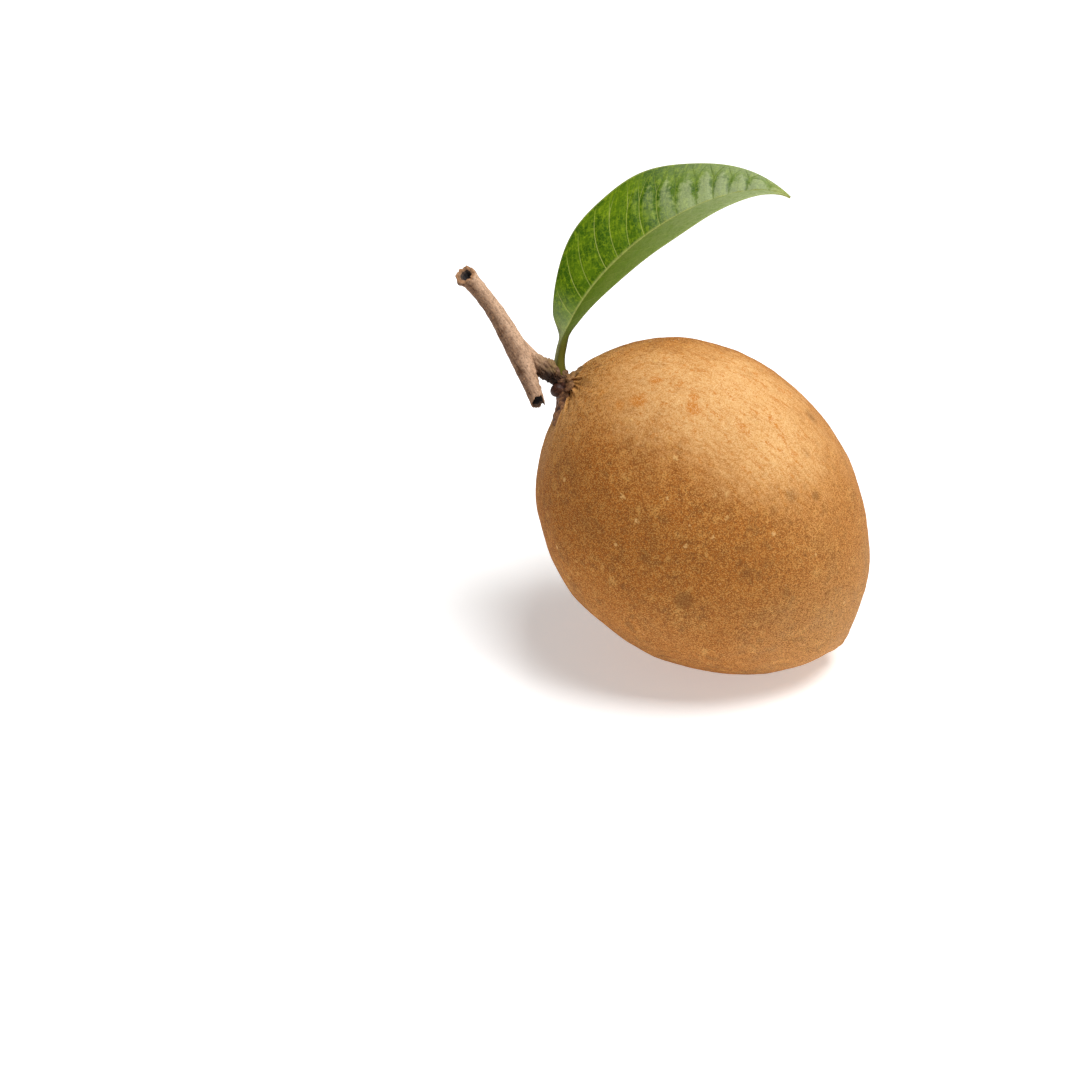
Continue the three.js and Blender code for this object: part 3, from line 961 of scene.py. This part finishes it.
def broken_branch():
    """Rings of the branch with its broken ends, and the raw wood and pith that each point shows."""
    rings, centre, tangent = rod_rings(BRANCH_PATH, branch_radius, BRANCH_STEPS, BRANCH_SIDES, BRANCH_BUMPS)
    angle = round_angles(BRANCH_SIDES)
    top = broken_end(rings[0], centre[0], -tangent[0], TOP_BREAK, top_jag(angle))[::-1]
    end = broken_end(rings[-1], centre[-1], tangent[-1], TORN_BREAK, torn_jag(angle))
    fade = np.linspace(1, 0, BREAK_FADE_RINGS)[:, None, None]
    rings[:BREAK_FADE_RINGS] -= fade * tangent[0] * top_jag(angle)[:, None]
    rings[-BREAK_FADE_RINGS:] += fade[::-1] * tangent[-1] * torn_jag(angle)[:, None]
    shown = np.concatenate([TOP_BREAK[::-1, 2:], np.zeros((BRANCH_STEPS, 2)), TORN_BREAK[:, 2:]])
    return np.concatenate([top, rings, end]), np.repeat(shown, BRANCH_SIDES, axis=0)


def build_twig(settings):
    """The twig's mesh: branch and stalk grown together, with bark ridges and broken ends."""
    branch, shown = broken_branch()
    stalk_path = np.array([STALK_START, STALK_BEND, STEM_POLE + (CUP_HEIGHT - STALK_SUNK) * STEM_AXIS])
    stalk, _, _ = rod_rings(stalk_path, stalk_radius, STALK_STEPS, STALK_SIDES, STALK_KNOTS)
    mesh = fuse("sapodilla_twig", [branch, stalk])
    points = mesh_points(mesh)
    normals = mesh_normals(mesh)
    drawn = points - 0.72 * (points @ BRANCH_WAY)[:, None] * BRANCH_WAY
    near = ease(np.linalg.norm(points - STEM_POLE, axis=1), 9.0, 4.0)
    ridges = 0.6 * ripple(drawn, 0.8, 31) + 0.6 * ripple(drawn, 0.4, 32) + 0.5 * ripple(points, 2.6, 33)
    raw, pith = nearest_values(points, branch.reshape(-1, 3), shown).T
    push_points(mesh, settings.bark_relief / MM * ridges * (1 + 3.5 * near))
    mark(mesh, "ridge", ridges)
    mark(mesh, "by_calyx", near)
    mark(mesh, "upward", ease(normals @ np.array([0.2, 0, 0.98]), 0.1, 0.8))
    # Painted shade on the twig's lower left side
    mark(mesh, "painted_shade_side", ease(normals @ unit(PAINTED_SHADE_WAY), -0.75, 0.65))
    mark(mesh, "broken", raw)
    mark(mesh, "pith", pith)
    return mesh


def twig_finish(settings):
    """Speckled bark with painted shade on its lower left side and in its hollows, dark and frayed by the
    calyx, with raw wood and black pith at the broken ends.
    """
    bark = Finish("twig_bark", {"IOR": 1.45, "Specular IOR Level": 0.3})
    places = bark.places()
    grain = bark.cloud(places, 0.21, 2, 0.7)
    speckle = bark.grains(places, 0.27) * 0.5 + grain * 0.5
    patch = bark.cloud(places, 2.0, 4, 0.6)
    fibre = bark.cloud(bark.drawn_out(places, BRANCH_WAY, 0.85), 0.45, 3, 0.65)
    painted_shade_side = bark.marked("painted_shade_side")
    by_calyx = bark.marked("by_calyx")
    # Hollows between the bark's ridges, which get painted shade
    painted_hollow_shade = 1 - bark.marked("ridge").step(-1.8, 0.2)
    # Painted shade on the lower left side and in the hollows, with random patches
    shading_and_patches = painted_hollow_shade * 0.3 + patch.step(0.5, 0.75) * 0.2 + painted_shade_side * 0.75
    colour = bark.layers(
        settings.bark,
        (shading_and_patches.larger(by_calyx * (patch * 0.9 + 0.5)), settings.bark_dark_and_shade),
        (by_calyx * bark.marked("upward") * patch.step(0.38, 0.6), settings.frayed),
        # Painted shade: near-black under the stalk by the calyx
        (by_calyx * painted_shade_side * 0.9, settings.pith),
        ((1 - fibre.step(0.34, 0.5)) * 0.4, settings.bark_dark_and_shade),
        ((1 - speckle.step(0.22, 0.48)) * 0.45, settings.bark_dark_and_shade),
        (speckle.step(0.55, 0.8) * (1 - by_calyx) * (0.25 + painted_shade_side * 0.35), settings.wood),
        (bark.marked("broken") * (patch + 0.35), settings.wood),
        (bark.marked("pith"), settings.pith),
    )
    bark.feed("Base Color", bark.scaled(colour, 0.55 + grain * 0.9))
    bark.feed("Roughness", 0.62 + grain * 0.3)
    bark.feed_relief(speckle * 0.8 + fibre + patch * 0.5, 0.14, 0.7)
    return bark.material


def vein_places(lengthwise, sideways, spacing):
    """Place between the side veins, whole on each vein, the nearest one's strength, and their slant."""
    draw = np.random.default_rng(41)
    count = int(VEINED_LENGTH / spacing)
    out = np.abs(sideways)
    slant = (0.34 - 0.001 * lengthwise) * out + 0.022 * out**2
    place = np.zeros(out.shape)
    strength = np.zeros(out.shape)
    for half, first in ((sideways >= 0, FAR_FIRST_VEIN), (sideways < 0, NEAR_FIRST_VEIN)):
        starts = first + spacing * (np.arange(count) - 2) + draw.normal(0, 0.4, count)
        bends = draw.normal(0, 0.06, count)
        powers = draw.uniform(0.6, 1.0, count)
        for index in range(count - 1):
            line, after = (starts[each] + bends[each] * out + slant for each in (index, index + 1))
            share = (lengthwise - line) / (after - line)
            here = half & (share >= 0) & (share < 1)
            place = np.where(here, index + share, place)
            strength = np.where(here, np.where(share < 0.5, powers[index], powers[index + 1]), strength)
    return place, strength, slant


def leaf_frames(share):
    """Centre line of the leaf with its side and up axes, its place along the blade and its length."""
    centre, tangent, length = bezier(LEAF_PATH, share)
    along = np.clip((share - LEAF_STALK_SHARE) / (1 - LEAF_STALK_SHARE), 0, 1)[:, None]
    roll = LEAF_ROLL_BASE + (LEAF_ROLL_TIP - LEAF_ROLL_BASE) * along
    out_side, out_up = across_axes(tangent, LEAF_PLANE_NORMAL)
    side, up = across_axes(tangent, out_up * np.sin(roll) + out_side * np.cos(roll))
    return centre, side, up, along, length


def blade_grid(along, length):
    """What is known of the flat blade at each row along it and column across it."""
    across = 1 - 2 * np.arange(BLADE_COLUMNS + 1) / BLADE_COLUMNS
    across = np.sign(across) * np.abs(across) ** MIDRIB_CROWDING
    taper = np.sin(math.pi * along) ** (0.95 + 0.15 * along)
    half_width = np.maximum(BLADE_HALF_WIDTH * taper, BLADE_LEAST_HALF_WIDTH)
    sideways = half_width * across * np.where(across > 0, FAR_HALF_WIDER, NEAR_HALF_WIDER)
    return SimpleNamespace(
        along=along, across=across, out=np.abs(across), far=across > 0, taper=taper, half_width=half_width,
        opened=ease(along, 0, BLADE_OPENED_BY), sideways=sideways,
        lengthwise=along * length * (1 - LEAF_STALK_SHARE) + 0 * across,
        fold=np.where(across > 0, FAR_HALF_FOLD, NEAR_HALF_FOLD))


def add_veins(blade, spacing):
    """Adds the side veins, the pillowed cells between them and the midrib to what is known of a blade."""
    blade.vein_place, strength, blade.slant = vein_places(blade.lengthwise, blade.sideways, spacing)
    strength = strength * ease(blade.out, 1.0, 0.8) * np.where(blade.far, 1, 0.5)
    blade.vein_strength = strength * blade.opened
    fork = FORK_SPREAD * np.maximum(0, blade.out - FORK_FROM) * ease(blade.along, *FORKED)
    distance = np.abs(np.abs((blade.vein_place + 0.5) % 1 - 0.5) - fork) * spacing
    blade.vein = hump(distance, 0, VEIN_HALF_WIDTH) * blade.vein_strength
    from_edge = ease(blade.half_width - np.abs(blade.sideways), 0.2, 2.0)
    blade.cell = ease(distance, 0, CELL_REACH) * blade.vein_strength * from_edge
    blade.midrib = hump(blade.sideways, 0, 0.22 - 0.10 * blade.along) * blade.opened


def blade_heights(blade, thickness):
    """Heights of the blade's upper and lower side over its midrib line."""
    along, across, out, far = blade.along, blade.across, blade.out, blade.far
    wave = EDGE_WAVE * blade.taper * across**2 * np.sin(FULL_TURN * EDGE_WAVES * along + across)
    sway = BLADE_SWAY * blade.taper * np.sin(5.2 * along + 2.5 * across) * far
    bow = out * (1.22 - 0.16 * out)
    sheet = blade.half_width * bow * np.sin(blade.fold) + wave * np.where(far, 1, 0.3) + sway
    half_thick = thickness * (0.15 + 0.35 * ease(out, 1.0, 0.9))
    pillow = (0.03 + 0.24 * along**1.5) * blade.cell * np.where(far, 1, 0.4)
    upper = sheet + half_thick + pillow - VEIN_DEPTH * blade.vein - MIDRIB_DEPTH * blade.midrib
    keel = (0.55 - 0.42 * along) * hump(blade.sideways, 0, 0.75 - 0.35 * along)
    lower = sheet - half_thick + 0.10 * blade.cell - 0.10 * blade.vein - keel
    return upper, lower


def build_leaf(settings):
    """The leaf's mesh: a grooved stalk that opens into the folded, veined blade."""
    share = 1 - (1 - np.linspace(0, 1, LEAF_STEPS)) ** TIP_CROWDING
    centre, side, up, along, length = leaf_frames(share)
    blade = blade_grid(along, length)
    add_veins(blade, settings.vein_spacing / MM)
    upper, lower = blade_heights(blade, settings.thickness / MM)
    turn = 0.48 * math.pi * blade.across
    swollen = LEAF_STALK_RADIUS * (1 + LEAF_STALK_SWELL * hump(share, 0.035, 0.03))[:, None]
    groove = LEAF_STALK_GROOVE * hump(blade.across, 0, 0.3)
    stalk_side = swollen * np.sin(turn)
    sideways = (stalk_side + (blade.sideways * np.cos(blade.fold) - stalk_side) * blade.opened)[..., None]
    rows = []
    grooved = swollen * (np.cos(turn) - groove)
    for blade_up, stalk_up in ((upper, grooved), (lower, -swollen * np.cos(turn))):
        upward = (stalk_up + (blade_up - stalk_up) * blade.opened)[..., None]
        rows.append(centre[:, None] + sideways * side[:, None] + upward * up[:, None])
    points, faces = closed_skin(np.concatenate([rows[0], rows[1][:, ::-1]], axis=1))
    mesh = new_mesh("sapodilla_leaf", points, faces)
    mark_leaf(mesh, blade)
    return mesh


def mark_leaf(mesh, blade):
    """Keeps what the leaf's finish reads: a value for the upper and the lower side of each place."""
    both_sides = {
        "vein_place": blade.vein_place, "vein_strength": blade.vein_strength, "cell": blade.cell,
        "along": blade.along, "across": blade.out, "signed": blade.across, "near_half": blade.across < 0,
        "opened": blade.opened, "combed": blade.lengthwise - blade.slant, "lengthwise": blade.lengthwise,
        "sideways": blade.sideways,
    }
    sides = {name: (values, values) for name, values in both_sides.items()}
    sides["upper"] = (1, 0)
    sides["midrib"] = (blade.midrib, hump(blade.sideways, 0, 0.8))
    blank = np.zeros(blade.sideways.shape)
    for name, (upper, lower) in sides.items():
        values = np.concatenate([upper + blank, (lower + blank)[:, ::-1]], axis=1)
        mark(mesh, name, np.append(values.ravel(), [values[0, 0], values[-1, 0]]))


def leaf_finish(settings):
    """Glossy green blade with pale veins and a fine net, paler under, with a painted sheen at the base and
    towards the tip.
    """
    leaf = Finish("leaf_blade", {"IOR": 1.42, "Specular IOR Level": 0.12})
    along = leaf.marked("along")
    outward = leaf.marked("across")
    sideways = leaf.marked("sideways")
    upper = leaf.marked("upper")
    flat = leaf.joined(leaf.marked("lengthwise"), sideways, upper)
    patch = leaf.cloud(flat, 4.5, 3, 0.6)
    mottle = leaf.cloud(flat, 1.2, 4, 0.65, 0.6)
    fibre = leaf.cloud(leaf.joined(leaf.marked("combed"), sideways * 0.22, upper), 0.5, 3, 0.65, 0.3)
    grain = leaf.cloud(flat, 0.3, 2, 0.6)
    bent = leaf.vector("ADD", flat, leaf.wobble(flat, 0.9))
    net = 1 - leaf.node("ShaderNodeTexVoronoi", {"feature": "DISTANCE_TO_EDGE"}, {
        "Vector": bent, "Scale": 0.75}, "Distance").step(0.0, 0.08)
    fork = ((outward - FORK_FROM) * FORK_SPREAD).larger(0) * along.step(*FORKED)
    apart = abs(abs((leaf.marked("vein_place") + 0.5) % 1 - 0.5) - fork) * (settings.vein_spacing / MM)
    strength = leaf.marked("vein_strength")
    vein = (1 - apart.step(0.02, 0.09)) * strength * (1 - outward.step(0.6, 0.95) * 0.7)
    # Painted shade in the creases along the side veins
    painted_valley_shade = (1 - apart.step(0.03, 0.21)) * strength
    to_tip = along.step(0.46, 0.68)
    fresh = (fibre * 0.5 + mottle * 0.5 + painted_valley_shade * 0.06).step(0.47, 0.62)
    # Painted highlight on the cells between the veins towards the tip
    shine = leaf.marked("cell") * 0.5 + mottle * 0.9 + fibre * 0.4 - outward * 0.7 + along * 0.4 - 0.6
    # Painted sheen at the base of the blade
    painted_base_sheen = (1 - along.step(0.03, 0.2)) * 0.8
    far_half = leaf.layers(
        settings.deep,
        (patch.step(0.38, 0.62), settings.green),
        (fresh * 0.65, settings.fresh),
        (net * 0.3, settings.fresh),
        # Painted highlight on the cells towards the tip and painted sheen at the base
        ((to_tip * shine.step(0.0, 0.45)).larger(painted_base_sheen) * 0.6, settings.painted_sheen),
        # Painted sheen on the outer part towards the tip
        (along.step(0.5, 0.9) * outward.step(0.3, 0.9) * 0.5, settings.painted_sheen),
        # Painted shade in the vein creases towards the tip
        (painted_valley_shade * to_tip * 0.8, settings.deep),
        (vein * (1 - to_tip * 0.7), settings.vein),
    )
    near_half = leaf.layers(
        settings.near,
        (patch.step(0.4, 0.6) * 0.5, settings.green),
        (outward.step(0.2, 1.0) * 0.2, settings.fresh),
        # Painted sheen over the plain half
        (along.step(0.25, 1.0) * 0.7 + outward * 0.12, settings.painted_sheen),
        (mottle.step(0.42, 0.66) * 0.4, settings.green),
        (vein * 0.6, settings.vein),
    )
    below = leaf.blend(mottle * 0.3 + net * 0.2 + vein * 0.5, settings.under, settings.vein)
    above = leaf.blend(leaf.marked("near_half") * 0.9, far_half, near_half)
    opened = leaf.marked("opened")
    signed = leaf.marked("signed")
    rim = outward.step(0.965, 0.99) * opened * 0.6
    # Painted shade in the crease beside the midrib
    painted_midrib_crease_shade = 1 - abs(signed + 0.03).step(0.005, 0.025)
    blade = leaf.layers(
        below,
        (upper, above),
        (leaf.marked("midrib").larger(rim) * 0.8, settings.vein),
        (painted_midrib_crease_shade * upper * 0.55, settings.stalk),
        (along.step(0.9, 1.0) * 0.6, settings.vein),
    )
    # Painted sheen on one side of the leaf stalk
    stalk = leaf.blend(signed.step(-0.5, 0.3) * 0.45, settings.stalk, settings.painted_sheen)
    leaf.feed("Base Color", leaf.scaled(leaf.blend(opened, stalk, blade), 0.6 + grain * 0.8))
    leaf.feed("Roughness", 0.36 + mottle * 0.14 + (1 - upper) * 0.25)
    leaf.feed_relief(mottle * 0.4 + grain * 0.2 + fibre * 0.4 - net * 0.25 - vein * 0.3, 0.10, 0.5)
    return leaf.material


def add_floor(settings):
    """An even pale floor that gives off a little light itself."""
    bpy.ops.mesh.primitive_circle_add(vertices=FLOOR_SIDES, radius=FLOOR_RADIUS * MM, fill_type="NGON")
    floor = bpy.context.object
    floor.name = "studio_floor"
    floor.data.materials.append(Finish("studio_floor", {
        "Base Color": (*settings.floor, 1), "Roughness": 0.9, "Emission Color": (1, 1, 1, 1),
        "Emission Strength": settings.glow}).material)


def add_light(settings):
    """A large square light overhead, and an even light all round."""
    light = bpy.data.lights.new("key_light", "AREA")
    light.energy = settings.key_power
    light.size = KEY_LIGHT_SIZE * MM
    holder = bpy.data.objects.new("key_light", light)
    bpy.context.scene.collection.objects.link(holder)
    holder.location = Vector(KEY_LIGHT_PLACE) * MM
    towards = Vector(KEY_LIGHT_AIM) - Vector(KEY_LIGHT_PLACE)
    holder.rotation_euler = towards.to_track_quat("-Z", "Y").to_euler()
    world = bpy.data.worlds.new("studio")
    world.use_nodes = True
    bpy.context.scene.world = world
    backdrop = world.node_tree.nodes["Background"]
    backdrop.inputs["Color"].default_value = (1, 1, 1, 1)
    backdrop.inputs["Strength"].default_value = settings.sky
    bpy.context.scene.view_settings.view_transform = "Standard"


def add_camera():
    """The camera, which looks down at the fruit from the front."""
    camera = bpy.data.cameras.new("camera")
    camera.lens = CAMERA_LENS
    camera.clip_start = CAMERA_NEAREST * MM
    holder = bpy.data.objects.new("camera", camera)
    bpy.context.scene.collection.objects.link(holder)
    back = np.array([0, -math.cos(CAMERA_RISE), math.sin(CAMERA_RISE)])
    place = Matrix.Translation(Vector((CAMERA_AIM + CAMERA_DISTANCE * back) * MM))
    holder.matrix_world = place @ Matrix.Rotation(math.pi / 2 - CAMERA_RISE, 4, "X")
    bpy.context.scene.camera = holder


class SAPODILLA_OT_fruit(bpy.types.Operator):
    """Make the fruit with its scurfy skin."""

    bl_idname = "sapodilla.fruit"
    bl_label = "Make Fruit"

    def execute(self, context):
        settings = context.scene.sapodilla_fruit
        add_piece(build_fruit(settings), "fruit_body", "fruit", fruit_finish(settings))
        return {"FINISHED"}


class SAPODILLA_OT_calyx(bpy.types.Operator):
    """Make the dry calyx at the stem end."""

    bl_idname = "sapodilla.calyx"
    bl_label = "Make Calyx"

    def execute(self, context):
        settings = context.scene.sapodilla_calyx
        add_piece(build_calyx(settings), "calyx_sepals", "calyx", calyx_finish(settings))
        return {"FINISHED"}


class SAPODILLA_OT_twig(bpy.types.Operator):
    """Make the forked twig with its broken ends."""

    bl_idname = "sapodilla.twig"
    bl_label = "Make Twig"

    def execute(self, context):
        settings = context.scene.sapodilla_twig
        add_piece(build_twig(settings), "twig_fork", "twig", twig_finish(settings))
        return {"FINISHED"}


class SAPODILLA_OT_leaf(bpy.types.Operator):
    """Make the leaf with its stalk and veins."""

    bl_idname = "sapodilla.leaf"
    bl_label = "Make Leaf"

    def execute(self, context):
        settings = context.scene.sapodilla_leaf
        add_piece(build_leaf(settings), "leaf_arched", "leaf", leaf_finish(settings))
        return {"FINISHED"}


class SAPODILLA_OT_stage(bpy.types.Operator):
    """Make the studio's floor, lights and camera."""

    bl_idname = "sapodilla.stage"
    bl_label = "Make Stage"

    def execute(self, context):
        settings = context.scene.sapodilla_stage
        add_floor(settings)
        add_light(settings)
        add_camera()
        return {"FINISHED"}


class VIEW3D_PT_sapodilla(bpy.types.Panel):
    """Lists the pieces and what can be changed about them."""

    bl_label = "Sapodilla"
    bl_idname = "VIEW3D_PT_sapodilla"
    bl_space_type = "VIEW_3D"
    bl_region_type = "UI"
    bl_category = "Sapodilla"

    def draw(self, context):
        for operator, group, kind in MAKERS:
            box = self.layout.box()
            box.operator(operator.bl_idname)
            for name in kind.__annotations__:
                box.prop(getattr(context.scene, group), name)


# Operators, each with the name that the scene keeps its settings under and their kind
MAKERS = (
    (SAPODILLA_OT_fruit, "sapodilla_fruit", SapodillaFruit),
    (SAPODILLA_OT_calyx, "sapodilla_calyx", SapodillaCalyx),
    (SAPODILLA_OT_twig, "sapodilla_twig", SapodillaTwig),
    (SAPODILLA_OT_leaf, "sapodilla_leaf", SapodillaLeaf),
    (SAPODILLA_OT_stage, "sapodilla_stage", SapodillaStage),
)


def register():
    """Registers the classes and gives the scene its settings."""
    for operator, group, kind in MAKERS:
        bpy.utils.register_class(kind)
        setattr(bpy.types.Scene, group, bpy.props.PointerProperty(type=kind))
        bpy.utils.register_class(operator)
    bpy.utils.register_class(VIEW3D_PT_sapodilla)


def unregister():
    """Takes back what register did."""
    bpy.utils.unregister_class(VIEW3D_PT_sapodilla)
    for operator, group, kind in reversed(MAKERS):
        bpy.utils.unregister_class(operator)
        delattr(bpy.types.Scene, group)
        bpy.utils.unregister_class(kind)


def main():
    """Makes the sapodilla and the stage."""
    register()
    bpy.ops.sapodilla.fruit()
    bpy.ops.sapodilla.calyx()
    bpy.ops.sapodilla.twig()
    bpy.ops.sapodilla.leaf()
    bpy.ops.sapodilla.stage()


if __name__ == "__main__":
    main()
